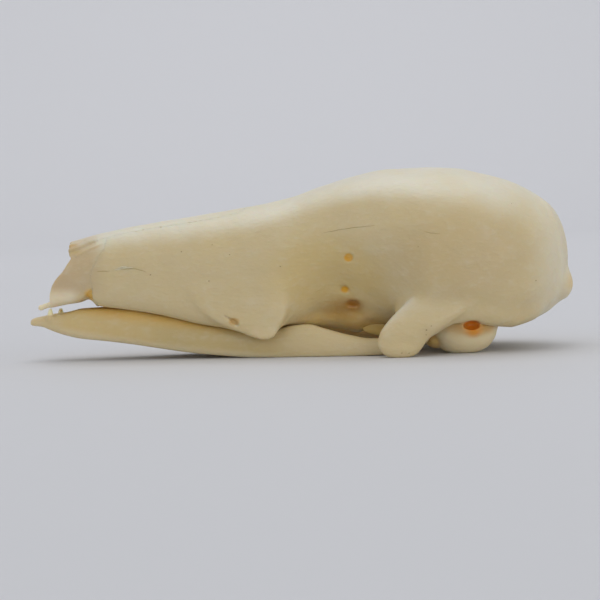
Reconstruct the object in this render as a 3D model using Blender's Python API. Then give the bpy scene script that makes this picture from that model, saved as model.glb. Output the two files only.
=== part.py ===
"""A life-size pangolin skull with its lower jaw, at rest on a level surface.

The snout points along -X, the animal's left side faces -Y and +Z is up. The origin lies on the resting
plane, under the middle of the skull's length. Sizes are in millimetres until MM makes them metres.
"""

import math

import bmesh
import bpy
import numpy as np
from mathutils import Vector

MM = 0.001

# Driving dimensions
SKULL_LENGTH = 87.0
BRAINCASE_WIDTH = 34.4
SKULL_HEIGHT = 29.3
BONE_GAP = 0.3
LEFT, RIGHT = -1, 1

FRONT_X = -SKULL_LENGTH / 2
BACK_X = SKULL_LENGTH / 2
HALF_WIDTH = BRAINCASE_WIDTH / 2

# The cranium as one lofted body: each line gives (distance along the skull, value)
ROOF_LINE = (
    (-43, 17.7), (-36.9, 19.05), (-31, 20.45), (-21.5, 22.0), (-13.7, 23.0), (-6, 24.1), (-0.5, 25.2),
    (4, 26.7), (9.7, 28.3), (15, 29.1), (21, SKULL_HEIGHT), (27, 28.5), (33, 27.1), (37, 25.2),
    (40.2, 23.0), (41.7, 21.0), (42.4, 19.2), (42.8, 17.4),
)
FLOOR_LINE = (
    (-43, 8.7), (-39.5, 8.85), (-37.6, 9.1), (-35.3, 9.4), (-33.8, 9.9), (-33, 9.45), (-32.4, 8.8),
    (-31, 8.35), (-28, 7.8), (-25.3, 7.35), (-19, 5.95), (-15.9, 5.15), (-12, 4.55), (-6, 4.3), (-2, 4.4),
    (3, 3.8), (9.4, 3.1), (12, 3.8), (16, 4.3), (24, 4.1), (33.5, 3.4), (37.6, 4.5), (40.4, 6.2),
    (41.8, 8.0), (42.8, 10.8),
)
HALF_WIDTH_LINE = (
    (-43, 3.4), (-37, 4.7), (-33, 5.6), (-28, 6.5), (-20, 7.7), (-12, 9.0), (-6, 10.0), (0, 10.7),
    (5, 11.6), (10, 13.6), (15, 15.6), (20, 16.9), (25, HALF_WIDTH), (30, 16.6), (34, 15.0),
    (37.5, 12.6), (40.3, 9.7), (41.9, 7.2), (42.7, 5.3), (43.1, 3.6),
)
WIDEST_HEIGHT_LINE = (
    (-43, 12.6), (-30, 13.2), (-14, 12.8), (-2, 15.0), (5, 17.0), (14, 15.6), (28, 14.6), (43.1, 14.4),
)
UPPER_SQUARENESS_LINE = (
    (-43, 2.3), (-20, 2.35), (0, 2.4), (9, 2.7), (22, 2.75), (32, 2.3), (43.1, 2.1),
)
LOWER_SQUARENESS_LINE = (
    (-43, 4.6), (-24, 5.2), (-12, 6.2), (-6, 5.6), (-3, 5.2), (0, 4.2), (4, 2.9), (12, 2.3), (20, 2.9),
    (30, 2.9), (43.1, 2.3),
)

# The eye socket and temple: the side wall draws in by a share of its width, fully at the palate. One line
# holds for the wall near the palate, the other for the wall above it.
SOCKET_SHARE_LINE = (
    (-4.2, 0.0), (-2, 0.08), (0.6, 0.27), (3.3, 0.42), (6, 0.48), (10, 0.4), (14, 0.2), (19, 0.0),
)
UPPER_SOCKET_SHARE_LINE = (
    (-8, 0.0), (-4.6, 0.04), (-2, 0.12), (1.5, 0.3), (6, 0.43), (10, 0.38), (14, 0.21), (20, 0.0),
)
SOCKET_TOP, SOCKET_BOTTOM = 19.8, 7.0
UPPER_WALL_Z, WALL_BLEND = 10.5, 4.0

# The vault of the palate: its share of the width, and how far it rises
VAULT_SHARE = 0.76
VAULT_RISE_LINE = (
    (-32.4, 0.6), (-27, 1.6), (-20, 1.9), (-12, 1.6), (-4, 1.4), (4, 0.9), (8, 0.3),
)

# The nose opening: its edge from the nasal tips down to the front of the premaxillae
NASAL_TIP_X = -36.5
NOSE_EDGE = (
    (NASAL_TIP_X, 26.0), (NASAL_TIP_X, 17.2), (-36.2, 16.5), (-36.95, 15.4), (-38.3, 13.7),
    (-39.05, 12.8), (-39.65, 11.5), (-39.9, 9.9), (-39.9, 6.0),
)
NASAL_HALF_WIDTH_LINE = ((-45, 2.7), (-37, 3.3), (-25, 3.7), (-15, 4.4), (-10, 4.2), (-7.4, 2.4))
NASAL_THICKNESS = 1.6
PREMAXILLA_BACK_X = -32.6
NOSE_WALL_LINE = ((-43, 0.9), (-34.5, 1.15), (-31.5, 2.9), (-28, 4.0), (-24, 5.6))
FACE_CUT_TOP, FACE_CUT_BOTTOM = (-6.6, 27.0), (-1.9, 1.0)

# Foramen magnum
FORAMEN_HALF_WIDTH, FORAMEN_HALF_HEIGHT, FORAMEN_Z, FORAMEN_DEPTH = 4.0, 3.3, 11.2, 12.7

RING_POINTS = 32
STATION_STEP = 2.2
LIP_NOTCH_PLACES = (-33.8, -33.0, -32.4)
BACK_ROUNDING_X = 36.5
WELD = 0.004


def monotone_slopes(x, value):
    """Slopes that make a cubic through the stations without overshoot."""
    step = np.diff(x)
    rise = np.diff(value) / step
    slope = np.zeros(len(x))
    for i in range(1, len(x) - 1):
        if rise[i - 1] * rise[i] > 0:
            before, after = step[i - 1], step[i]
            slope[i] = 3 * (before + after) / (
                (2 * after + before) / rise[i - 1] + (after + 2 * before) / rise[i]
            )
    slope[0], slope[-1] = rise[0], rise[-1]
    return slope


def line(stations):
    """A smooth function through (place, value) stations, flat beyond its ends."""
    x, value = (np.array(column, float) for column in zip(*stations))
    slope = monotone_slopes(x, value)

    def at(place):
        place = min(max(place, x[0]), x[-1])
        i = min(int(np.searchsorted(x, place, side="right")) - 1, len(x) - 2)
        width = x[i + 1] - x[i]
        t = (place - x[i]) / width
        return float(
            value[i] * (1 + 2 * t) * (1 - t) ** 2
            + slope[i] * width * t * (1 - t) ** 2
            + value[i + 1] * t * t * (3 - 2 * t)
            + slope[i + 1] * width * t * t * (t - 1)
        )

    return at


def smooth_step(t):
    t = min(max(t, 0.0), 1.0)
    return t * t * (3 - 2 * t)


def power(value, exponent):
    return math.copysign(abs(value) ** exponent, value)


roof_at = line(ROOF_LINE)
floor_at = line(FLOOR_LINE)
half_width_at = line(HALF_WIDTH_LINE)
widest_height_at = line(WIDEST_HEIGHT_LINE)
upper_squareness_at = line(UPPER_SQUARENESS_LINE)
lower_squareness_at = line(LOWER_SQUARENESS_LINE)
socket_share_at = line(SOCKET_SHARE_LINE)
upper_socket_share_at = line(UPPER_SOCKET_SHARE_LINE)
vault_rise_at = line(VAULT_RISE_LINE)
nasal_half_width_at = line(NASAL_HALF_WIDTH_LINE)
nose_wall_at = line(NOSE_WALL_LINE)


def cranium_ring(x, outward=0.0):
    """The cranium's cross-section at x, moved outward by a distance, or inward by a negative one."""
    half_width = half_width_at(x) + outward
    widest = widest_height_at(x)
    up = roof_at(x) - widest + outward
    down = widest - floor_at(x) + outward
    lower_share, upper_share = socket_share_at(x), upper_socket_share_at(x)
    ring = []
    for k in range(RING_POINTS):
        angle = 2 * math.pi * (k + 0.5) / RING_POINTS
        across, above = math.cos(angle), math.sin(angle)
        exponent = 2 / (upper_squareness_at(x) if above > 0 else lower_squareness_at(x))
        y = half_width * power(across, exponent)
        z = widest + (up if above > 0 else down) * power(above, exponent)
        share = upper_share + (lower_share - upper_share) * smooth_step((UPPER_WALL_Z - z) / WALL_BLEND)
        drawn_in = share * smooth_step((SOCKET_TOP - z) / (SOCKET_TOP - SOCKET_BOTTOM))
        ring.append(Vector((x, y * (1 - drawn_in), z)))
    return ring


def even_places(start, end, step=STATION_STEP):
    return np.linspace(start, end, max(2, round((end - start) / step) + 1))


def cranium_stations():
    """Even stations, closer ones at the lip's notch and where the back of the skull rounds off."""
    turn = np.linspace(0, math.pi / 2, 8)[1:]
    end = ROOF_LINE[-1][0]
    rounding = BACK_ROUNDING_X + (end - BACK_ROUNDING_X) * np.sin(turn)
    front = even_places(-42.5, -35.3)
    return np.concatenate([front, LIP_NOTCH_PLACES, even_places(-31.0, BACK_ROUNDING_X), rounding])


def new_object(name, mesh_maker):
    mesh = bpy.data.meshes.new(name)
    shape = bmesh.new()
    mesh_maker(shape)
    bmesh.ops.recalc_face_normals(shape, faces=shape.faces)
    shape.to_mesh(mesh)
    shape.free()
    made = bpy.data.objects.new(name, mesh)
    bpy.context.scene.collection.objects.link(made)
    return made


def loft(name, rings):
    """A closed body through rings of points, with a face across each end."""

    def fill(shape):
        loops = [[shape.verts.new(point * MM) for point in ring] for ring in rings]
        for near, far in zip(loops, loops[1:]):
            for i in range(len(near)):
                j = (i + 1) % len(near)
                shape.faces.new((near[i], near[j], far[j], far[i]))
        shape.faces.new(loops[0])
        shape.faces.new(loops[-1])

    return new_object(name, fill)


def prism(name, outline, y_low, y_high):
    """An outline in the X-Z plane, carried straight across from y_low to y_high."""
    return loft(name, [[Vector((x, y, z)) for x, z in outline] for y in (y_low, y_high)])


def ellipsoid(name, centre, radii, turns=20, rows=12):
    """A closed ellipsoid of level rings."""
    rings = []
    for row in range(rows):
        rise = math.pi * (row + 0.5) / rows - math.pi / 2
        rings.append([
            Vector((
                centre[0] + radii[0] * math.cos(rise) * math.cos(2 * math.pi * k / turns),
                centre[1] + radii[1] * math.cos(rise) * math.sin(2 * math.pi * k / turns),
                centre[2] + radii[2] * math.sin(rise),
            ))
            for k in range(turns)
        ])
    return loft(name, rings)


def hanging_plate(name, levels, side, turns=20):
    """A plate that hangs down from the skull.

    Its levels are (height, front x, back x, distance from the middle, half thickness, splay).
    """
    rings = []
    for height, front, back, aside, thick, splay in levels:
        middle, half = (front + back) / 2, (back - front) / 2
        ring = []
        for k in range(turns):
            angle = 2 * math.pi * k / turns
            along = half * power(math.cos(angle), 0.85)
            out = aside + splay * along + thick * power(math.sin(angle), 0.85)
            ring.append(Vector((middle + along, side * out, height)))
        rings.append(ring)
    return loft(name, rings)


def tube(name, points, side, turns=12):
    """A round rod along the skull through points (x, height, distance from the middle, radius)."""
    angles = [2 * math.pi * k / turns for k in range(turns)]
    rings = []
    for x, height, aside, radius in points:
        rings.append([
            Vector((x, side * (aside + radius * math.cos(a)), height + radius * math.sin(a))) for a in angles
        ])
    return loft(name, rings)


def combine(target, tool, operation):
    """Applies a Boolean to target, then welds the slivers that it leaves."""
    modifier = target.modifiers.new("combine", "BOOLEAN")
    modifier.operation = operation
    modifier.solver = "EXACT"
    modifier.object = tool
    bpy.context.view_layer.update()
    with bpy.context.temp_override(object=target, active_object=target, selected_objects=[target]):
        bpy.ops.object.modifier_apply(modifier=modifier.name)
    bpy.data.objects.remove(tool)
    shape = bmesh.new()
    shape.from_mesh(target.data)
    bmesh.ops.remove_doubles(shape, verts=shape.verts, dist=WELD * MM)
    bmesh.ops.dissolve_degenerate(shape, edges=shape.edges, dist=WELD * MM)
    shape.to_mesh(target.data)
    shape.free()
    return target


def copy_of(source, name):
    made = source.copy()
    made.data = source.data.copy()
    made.name = made.data.name = name
    bpy.context.scene.collection.objects.link(made)
    return made


def keep_largest(target):
    """Leaves only the largest closed surface of a mesh."""
    shape = bmesh.new()
    shape.from_mesh(target.data)
    unseen = set(shape.verts)
    islands = []
    while unseen:
        island, edge_of_it = set(), [unseen.pop()]
        while edge_of_it:
            vertex = edge_of_it.pop()
            island.add(vertex)
            for edge in vertex.link_edges:
                other = edge.other_vert(vertex)
                if other in unseen:
                    unseen.discard(other)
                    edge_of_it.append(other)
        islands.append(island)
    largest = max(islands, key=len)
    bmesh.ops.delete(shape, geom=[v for v in shape.verts if v not in largest], context="VERTS")
    shape.to_mesh(target.data)
    shape.free()
    return target


def box(name, low, high):
    corners = [(low[0], low[2]), (high[0], low[2]), (high[0], high[2]), (low[0], high[2])]
    return prism(name, corners, low[1], high[1])


def part_off(whole, name, region, grown_region):
    """Takes region out of whole as a new node, with the gap that the grown region leaves round it."""
    piece = copy_of(whole, name)
    combine(piece, region, "INTERSECT")
    combine(whole, grown_region, "DIFFERENCE")
    return keep_largest(piece)


def side_box(name, x_range, y_range, z_range, side, grow=0.0):
    """A box beside the middle plane, on one side of the skull, grown all round."""
    near, far = (y_range[0] - grow) * side, (y_range[1] + grow) * side
    low = (x_range[0] - grow, min(near, far), z_range[0] - grow)
    high = (x_range[1] + grow, max(near, far), z_range[1] + grow)
    return box(name, low, high)


# Squamosal process: the paddle that hangs beside the jaw joint and rests on the surface
SQUAMOSAL_LEVELS = (
    (0.0, 13.6, 16.6, 15.6, 0.7, 0.0), (0.35, 12.8, 17.5, 15.6, 1.0, 0.0),
    (1.1, 12.1, 18.3, 15.6, 1.2, 0.0), (2.2, 11.7, 19.1, 15.5, 1.25, 0.0),
    (3.6, 12.0, 20.2, 15.45, 1.3, 0.0), (5.0, 12.9, 22.0, 15.35, 1.3, 0.02),
    (6.8, 14.6, 24.6, 15.0, 1.4, 0.04), (8.8, 16.9, 26.4, 14.55, 1.4, 0.06),
    (10.6, 19.4, 26.4, 14.3, 1.3, 0.06),
)
GLENOID_LEVELS = (
    (5.55, 14.2, 20.0, 12.1, 1.9, 0.0), (6.6, 14.0, 21.0, 11.9, 2.6, 0.0), (9.4, 15.2, 21.8, 11.2, 2.8, 0.0),
)

# Maxillary process: the hook in front of the eye socket
MAXILLARY_LEVELS = (
    (3.05, -6.4, -5.0, 10.2, 0.35, 0.12), (3.4, -7.5, -4.3, 10.0, 0.6, 0.14),
    (4.1, -9.0, -3.8, 9.6, 0.75, 0.16), (5.0, -10.7, -3.5, 9.1, 0.85, 0.15),
    (6.4, -12.6, -3.3, 8.7, 0.85, 0.11), (8.2, -14.5, -3.4, 8.1, 0.8, 0.09),
    (10.6, -16.0, -3.8, 7.6, 0.6, 0.08),
)

# Round rods: (x, height, distance from the middle, radius)
PREMAXILLA_SPIKE = (
    (-42.0, 8.6, 1.75, 0.25), (-41.6, 8.68, 1.8, 0.44), (-40.7, 8.98, 1.95, 0.4), (-39.7, 9.25, 2.25, 0.48),
    (-38.6, 9.65, 2.55, 0.6), (-37.0, 10.05, 2.9, 0.7),
)
CONDYLE_ROOT = ((38.0, 7.2, 5.0, 1.2), (41.6, 9.8, 5.2, 1.9))
BULLA_BACK = ((27.6, 4.2, 9.6, 2.4), (31.3, 4.8, 9.6, 0.35))

CONDYLE_CENTRE, CONDYLE_RADII = (BACK_X - 2.2, 5.2, 10.3), (2.2, 2.6, 2.5)
BULLA_CENTRE, BULLA_RADII = (25.5, 9.4, 3.7), (5.2, 4.0, 4.1)
BULLA_KNOB_CENTRE, BULLA_KNOB_RADII = (21.2, 8.9, 2.2), (1.8, 2.0, 1.45)
EAR_HOLE_CENTRE, EAR_HOLE_RADII = (26.4, 13.2, 4.2), (1.35, 3.2, 0.95)

PTERYGOID_LEVELS = (
    (1.0, 19.8, 21.9, 4.4, 0.32, 0.1), (1.5, 18.2, 22.2, 4.3, 0.4, 0.08), (2.6, 12.6, 21.4, 4.0, 0.5, 0.06),
    (3.6, 9.9, 19.6, 3.9, 0.6, 0.06), (5.0, 9.6, 18.6, 3.9, 0.75, 0.05), (6.2, 9.8, 18.0, 4.0, 0.8, 0.05),
)

# Small openings: (x, height, distance from the middle, depth, half length, half height)
SOCKET_HOLES = (
    (7.75, 15.45, 11.8, 3.0, 0.72, 0.66), (7.1, 10.35, 8.6, 2.8, 0.68, 0.56), (8.3, 8.0, 6.8, 2.4, 1.0, 0.75),
)
INFRAORBITAL_HOLE = (-10.7, 6.1, 9.8, 2.6, 1.0, 0.5)
PREMAXILLA_WINDOW = (-33.7, 10.9, 5.2, 2.2, 0.5, 0.6)

# Lower jaw, one half: (x, lower edge, upper edge, distance from the middle, half thickness)
JAW_STATIONS = (
    (FRONT_X, 6.0, 6.6, 0.85, 0.42), (-43.0, 5.78, 6.95, 0.95, 0.6), (-41.6, 5.6, 7.22, 1.3, 0.75),
    (-40.0, 5.0, 7.5, 1.9, 0.95), (-38.0, 4.3, 7.68, 2.5, 1.05), (-35.3, 3.65, 8.2, 3.1, 1.1),
    (-31.4, 3.15, 8.3, 3.4, 1.05), (-27.5, 2.6, 8.1, 3.8, 1.05), (-23.6, 1.95, 7.4, 4.3, 1.05),
    (-19.8, 1.3, 6.6, 4.8, 1.1), (-16.0, 0.75, 5.6, 5.3, 1.1), (-12.0, 0.35, 4.8, 5.9, 1.1),
    (-8.0, 0.0, 4.4, 6.6, 1.1), (-4.0, -0.2, 4.4, 7.3, 1.1), (-1.5, -0.25, 4.9, 7.8, 1.1),
    (1.1, -0.25, 5.1, 8.3, 1.1), (4.0, -0.25, 4.3, 8.9, 1.1), (7.6, -0.2, 3.3, 9.6, 1.1),
    (11.0, 0.0, 2.7, 10.3, 1.1), (13.5, 0.15, 2.8, 10.8, 1.15), (15.6, 0.55, 4.2, 11.2, 1.2),
    (17.2, 1.0, 5.15, 11.3, 1.25), (18.8, 1.5, 5.1, 11.3, 1.15), (19.8, 2.1, 4.5, 11.3, 0.8),
)
JAW_RING_POINTS = 10
JAW_PRONG = ((-40.1, 2.55, 6.9, 0.5), (-40.05, 2.7, 7.8, 0.42), (-39.95, 2.75, 8.6, 0.28))


def cranium_body():
    return loft("braincase", [cranium_ring(x) for x in cranium_stations()])


def cranium_clearance():
    """The cranium grown by the gap, which cuts what rests against its base."""
    return loft("clearance", [cranium_ring(x, BONE_GAP) for x in cranium_stations()])


def nose_cavity():
    """The hollow behind the nose opening, which narrows as it goes back."""
    start, end = -46.0, NOSE_WALL_LINE[-1][0]
    return loft("nose_cavity", [cranium_ring(x, -nose_wall_at(x)) for x in even_places(start, end)])


def palate_vault():
    """The long shallow hollow under the palate, between its side rims."""
    rings = []
    for x in even_places(VAULT_RISE_LINE[0][0], VAULT_RISE_LINE[-1][0], 3.6):
        half = VAULT_SHARE * half_width_at(x) * (1 - socket_share_at(x))
        low, rise = floor_at(x) - 1.0, vault_rise_at(x) + 1.0
        angles = [math.pi * k / 8 for k in range(9)]
        rings.append([
            Vector((x, half * math.cos(a), low + rise * max(math.sin(a), 0.0) ** 0.6)) for a in angles
        ])
    return loft("vault", rings)


def nose_front():
    """All that lies in front of the nose opening's edge."""
    return prism("nose_front", (*NOSE_EDGE, (-52.0, 6.0), (-52.0, 26.0)), -12.0, 12.0)


def foramen_magnum():
    """A tunnel that narrows as it goes in."""
    rings = []
    for x, share in ((46.0, 1.06), (42.6, 1.0), (39.0, 0.92), (BACK_X - FORAMEN_DEPTH, 0.7)):
        rings.append([
            Vector((
                x,
                FORAMEN_HALF_WIDTH * share * math.cos(2 * math.pi * k / 24),
                FORAMEN_Z + FORAMEN_HALF_HEIGHT * share * math.sin(2 * math.pi * k / 24),
            ))
            for k in range(24)
        ])
    return loft("foramen_magnum", rings)


def choana():
    """The way from the nose to the throat, above the back edge of the palate."""
    return ellipsoid("choana", (10.6, 0.0, 5.4), (5.6, 2.5, 1.9), 16, 10)


def side_hole(name, x, height, aside, depth, half_length, half_height, side):
    """A blind hole into a side wall."""
    return ellipsoid(name, (x, side * aside, height), (half_length, depth, half_height), 10, 6)


def roof_height(x, y):
    """The height of the cranium's upper surface at (x, y)."""
    squareness = upper_squareness_at(x)
    widest = widest_height_at(x)
    share = (1 - (abs(y) / half_width_at(x)) ** squareness) ** (1 / squareness)
    return widest + (roof_at(x) - widest) * share


def nasal_region(grow):
    """The evenly thick strip of roof that the two nasal bones take up."""
    rings = []
    for x in np.append(even_places(-45.0, -8.0, 4.1), -7.4 + grow):
        half = nasal_half_width_at(x) + grow
        across = np.linspace(-half, half, 7)
        underside = [Vector((x, y, roof_height(x, y) - NASAL_THICKNESS - grow)) for y in across]
        rings.append([*underside, Vector((x, half, roof_at(x) + 4.0)), Vector((x, -half, roof_at(x) + 4.0))])
    return loft("nasal_region", rings)


def split_in_two(whole, name):
    """Cuts a node along the middle plane into a left and a right one."""
    for side, word in ((LEFT, "left"), (RIGHT, "right")):
        half = copy_of(whole, f"{name}_{word}")
        combine(half, side_box("half", (-60, 60), (BONE_GAP / 2, 40), (-10, 60), side), "INTERSECT")
        keep_largest(half)
    bpy.data.objects.remove(whole)


def face_half_space(back_shift):
    """Everything in front of the slanted cut between the face and the braincase."""
    (top_x, top_z), (bottom_x, bottom_z) = FACE_CUT_TOP, FACE_CUT_BOTTOM
    outline = (
        (-60.0, bottom_z - 20), (bottom_x + back_shift, bottom_z - 20), (bottom_x + back_shift, bottom_z),
        (top_x + back_shift, top_z), (top_x + back_shift, top_z + 20), (-60.0, top_z + 20),
    )
    return prism("face", outline, -30.0, 30.0)


def build_cranium():
    """The whole cranium, then the thin cuts that part it into its bones."""
    whole = cranium_body()
    for side in (LEFT, RIGHT):
        combine(whole, hanging_plate("maxillary", MAXILLARY_LEVELS, side), "UNION")
    combine(whole, palate_vault(), "DIFFERENCE")
    combine(whole, nose_front(), "DIFFERENCE")
    combine(whole, nose_cavity(), "DIFFERENCE")
    for side in (LEFT, RIGHT):
        combine(whole, tube("spike", PREMAXILLA_SPIKE, side, 8), "UNION")
    for side in (LEFT, RIGHT):
        for hole in (*SOCKET_HOLES, INFRAORBITAL_HOLE, PREMAXILLA_WINDOW):
            combine(whole, side_hole("hole", *hole, side), "DIFFERENCE")
    combine(whole, foramen_magnum(), "DIFFERENCE")
    combine(whole, choana(), "DIFFERENCE")

    nasals = part_off(whole, "nasal", nasal_region(0.0), nasal_region(BONE_GAP))
    split_in_two(nasals, "nasal")
    for side, word in ((LEFT, "left"), (RIGHT, "right")):
        region = side_box("region", (-60, PREMAXILLA_BACK_X - BONE_GAP), (BONE_GAP / 2, 30), (-5, 60), side)
        grown = side_box("grown", (-60, PREMAXILLA_BACK_X), (0.0, 30), (-5, 60), side)
        part_off(whole, f"premaxilla_{word}", region, grown)
    part_off(whole, "maxilla", face_half_space(0.0), face_half_space(BONE_GAP))
    keep_largest(whole)


def build_bullae():
    """The two ear capsules, each with its opening, flattened where they rest."""
    for side, word in ((LEFT, "left"), (RIGHT, "right")):
        centre = (BULLA_CENTRE[0], side * BULLA_CENTRE[1], BULLA_CENTRE[2])
        knob = (BULLA_KNOB_CENTRE[0], side * BULLA_KNOB_CENTRE[1], BULLA_KNOB_CENTRE[2])
        bulla = ellipsoid(f"tympanic_bulla_{word}", centre, BULLA_RADII, 22, 13)
        combine(bulla, tube("back", BULLA_BACK, side, 14), "UNION")
        combine(bulla, ellipsoid("knob", knob, BULLA_KNOB_RADII, 14, 8), "UNION")
        combine(bulla, box("floor", (0, -30, -9), (50, 30, 0)), "DIFFERENCE")
        ear = (EAR_HOLE_CENTRE[0], side * EAR_HOLE_CENTRE[1], EAR_HOLE_CENTRE[2])
        combine(bulla, cranium_clearance(), "DIFFERENCE")
        combine(bulla, ellipsoid("ear", ear, EAR_HOLE_RADII, 12, 6), "DIFFERENCE")
        keep_largest(bulla)


def build_squamosal_processes():
    """The two paddles, each with the shelf above the jaw joint."""
    for side, word in ((LEFT, "left"), (RIGHT, "right")):
        paddle = hanging_plate(f"squamosal_process_{word}", SQUAMOSAL_LEVELS, side)
        combine(paddle, hanging_plate("glenoid", GLENOID_LEVELS, side), "UNION")
        combine(paddle, cranium_clearance(), "DIFFERENCE")
        keep_largest(paddle)


def build_condyles():
    for side, word in ((LEFT, "left"), (RIGHT, "right")):
        centre = (CONDYLE_CENTRE[0], side * CONDYLE_CENTRE[1], CONDYLE_CENTRE[2])
        condyle = ellipsoid(f"occipital_condyle_{word}", centre, CONDYLE_RADII, 18, 12)
        combine(condyle, tube("root", CONDYLE_ROOT, side), "UNION")
        combine(condyle, cranium_clearance(), "DIFFERENCE")
        combine(condyle, foramen_magnum(), "DIFFERENCE")
        keep_largest(condyle)


def build_pterygoids():
    for side, word in ((LEFT, "left"), (RIGHT, "right")):
        plate = hanging_plate(f"pterygoid_{word}", PTERYGOID_LEVELS, side, 16)
        combine(plate, cranium_clearance(), "DIFFERENCE")
        keep_largest(plate)


def jaw_ring(x, low, high, aside, thick, side):
    """A flattened oval that leans outward below."""
    ring = []
    middle, half = (low + high) / 2, (high - low) / 2
    for k in range(JAW_RING_POINTS):
        angle = 2 * math.pi * (k + 0.5) / JAW_RING_POINTS
        rise = power(math.sin(angle), 0.9)
        out = aside + thick * (power(math.cos(angle), 0.9) - 0.25 * rise)
        ring.append(Vector((x, side * out, middle + half * rise)))
    return ring


def jaw_prong(side):
    """The upright spike near the tip of one half."""
    angles = [math.pi * k / 4 for k in range(8)]
    rings = []
    for x, aside, height, radius in JAW_PRONG:
        rings.append([
            Vector((x + radius * math.cos(a), side * (aside + radius * math.sin(a)), height)) for a in angles
        ])
    return loft("prong", rings)


def build_jaw():
    """Each half of the lower jaw with its tooth-like prong, trimmed where the halves meet in front."""
    places = even_places(FRONT_X, 19.8, 2.0)
    columns = [line([(row[0], row[i]) for row in JAW_STATIONS]) for i in range(1, 5)]
    for side, word in ((LEFT, "left"), (RIGHT, "right")):
        rings = [jaw_ring(x, *(column(x) for column in columns), side) for x in places]
        half = loft(f"mandible_{word}", rings)
        combine(half, jaw_prong(side), "UNION")
        combine(half, side_box("half", (-60, 60), (BONE_GAP / 2, 40), (0.0, 60), side), "INTERSECT")
        keep_largest(half)


BONE = (0.80, 0.74, 0.60)
BONE_WARM = (0.78, 0.70, 0.52)
BONE_TIP = (0.76, 0.67, 0.54)


def finish(colours, roughness=0.5):
    for words, colour in colours:
        material = bpy.data.materials.new("bone_" + words[0])
        material.use_nodes = True
        shader = material.node_tree.nodes["Principled BSDF"]
        shader.inputs["Base Color"].default_value = (*colour, 1.0)
        shader.inputs["Roughness"].default_value = roughness
        shader.inputs["Metallic"].default_value = 0.0
        for made in bpy.data.objects:
            if made.type == "MESH" and made.name.startswith(words):
                made.data.materials.clear()
                made.data.materials.append(material)
                made.data.shade_smooth()
                made.data.set_sharp_from_angle(angle=math.radians(35))


def main():
    for old in list(bpy.data.objects):
        bpy.data.objects.remove(old)
    build_cranium()
    build_squamosal_processes()
    build_condyles()
    build_bullae()
    build_pterygoids()
    build_jaw()
    finish((
        (("braincase", "maxilla", "squamosal", "occipital", "tympanic"), BONE),
        (("mandible", "pterygoid"), BONE_WARM),
        (("nasal", "premaxilla"), BONE_TIP),
    ))


main()
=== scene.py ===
# %% [markdown]
# # A pangolin skull in fine detail
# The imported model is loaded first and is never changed. Each bone that is remade here replaces the plain
# solid of the same bone, in the same place, because both are made from the same stations.

# %% Load the frame
import math

import bpy
import numpy as np
from mathutils import Matrix, Vector


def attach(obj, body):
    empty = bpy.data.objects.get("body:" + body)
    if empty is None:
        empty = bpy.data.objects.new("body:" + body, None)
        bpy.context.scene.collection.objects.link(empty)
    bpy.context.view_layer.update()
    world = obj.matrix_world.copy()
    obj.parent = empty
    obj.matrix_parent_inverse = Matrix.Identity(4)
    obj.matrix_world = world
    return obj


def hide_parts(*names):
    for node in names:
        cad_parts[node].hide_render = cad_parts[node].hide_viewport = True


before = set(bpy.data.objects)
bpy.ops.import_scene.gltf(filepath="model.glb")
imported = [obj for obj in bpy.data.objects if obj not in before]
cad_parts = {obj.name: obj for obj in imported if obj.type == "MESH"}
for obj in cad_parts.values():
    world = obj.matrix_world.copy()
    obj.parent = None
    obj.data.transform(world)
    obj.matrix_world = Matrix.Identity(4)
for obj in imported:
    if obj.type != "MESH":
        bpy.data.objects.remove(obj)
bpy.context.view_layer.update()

print("nodes:", ", ".join(sorted(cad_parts)))

# %% [markdown]
# ## Smooth lines through stations
# A skull is measured like a ship's hull: at stations along its length, with the roof, the floor and the
# width read off at each. A cubic through them could overshoot between two stations and leave a dent, so
# the slopes are chosen the monotone way, which never does.

# %% Lines through stations
MM = 0.001
BONE_GAP = 0.03
SEAM_WIDTH, SEAM_DEPTH, SEAM_LAP = 0.01, 0.02, 0.4


def line(*stations):
    """A smooth function through (place, value) stations, flat beyond its ends."""
    x, value = (np.array(column, float) for column in zip(*stations))
    step = np.diff(x)
    rise = np.diff(value) / step
    slope = np.zeros(len(x))
    slope[0], slope[-1] = rise[0], rise[-1]
    for i in range(1, len(x) - 1):
        if rise[i - 1] * rise[i] > 0:
            before, after = step[i - 1], step[i]
            share = (2 * after + before) / rise[i - 1] + (after + 2 * before) / rise[i]
            slope[i] = 3 * (before + after) / share

    def at(place):
        place = np.clip(place, x[0], x[-1])
        i = np.clip(np.searchsorted(x, place, side="right") - 1, 0, len(x) - 2)
        width = x[i + 1] - x[i]
        t = (place - x[i]) / width
        steady = value[i] * (1 + 2 * t) * (1 - t) ** 2 + value[i + 1] * t * t * (3 - 2 * t)
        turned = slope[i] * t * (1 - t) ** 2 + slope[i + 1] * t * t * (t - 1)
        return (steady + width * turned).astype(np.float32)

    return at


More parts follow.
